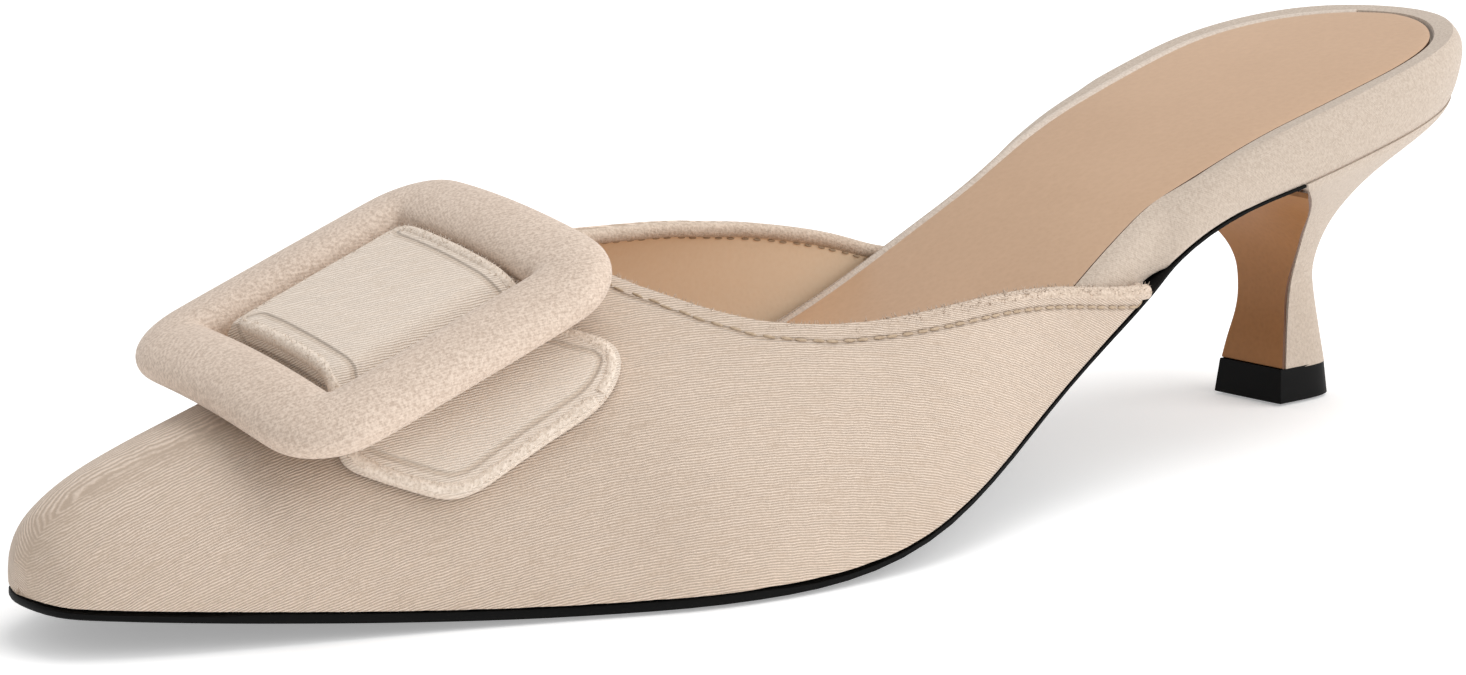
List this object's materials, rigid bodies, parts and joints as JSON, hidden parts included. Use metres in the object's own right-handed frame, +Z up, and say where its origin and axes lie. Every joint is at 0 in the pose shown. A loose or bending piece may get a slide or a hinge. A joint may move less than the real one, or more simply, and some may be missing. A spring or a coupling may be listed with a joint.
{
  "type": "kitten heel mule",
  "caption": "Left pointed-toe mule in suede with a low curved kitten heel, an open back and a padded square buckle over a tab on the vamp.",
  "frame": {"origin": "on the floor, under the middle of the shoe's length and of its width", "axes": "+X from the toe to the heel, +Y towards the medial side, +Z up from the floor"},
  "size_m": [0.2362, 0.0787, 0.0574],
  "materials": {
    "suede": "beige microsuede with a short nap",
    "trim_suede": "padded beige suede, slightly pinker",
    "sock": "smooth tan lining leather, satin",
    "breast_cover": "smooth brown leather, satin",
    "black_rubber": "black, satin"
  },
  "bodies": {
    "root": {"outsole": "black_rubber", "upper": "suede", "footbed": "suede", "sock_lining": "sock", "heel": "suede", "heel_breast": "breast_cover", "top_piece": "black_rubber", "strap": "trim_suede", "buckle": "trim_suede"}
  },
  "joints": []
}
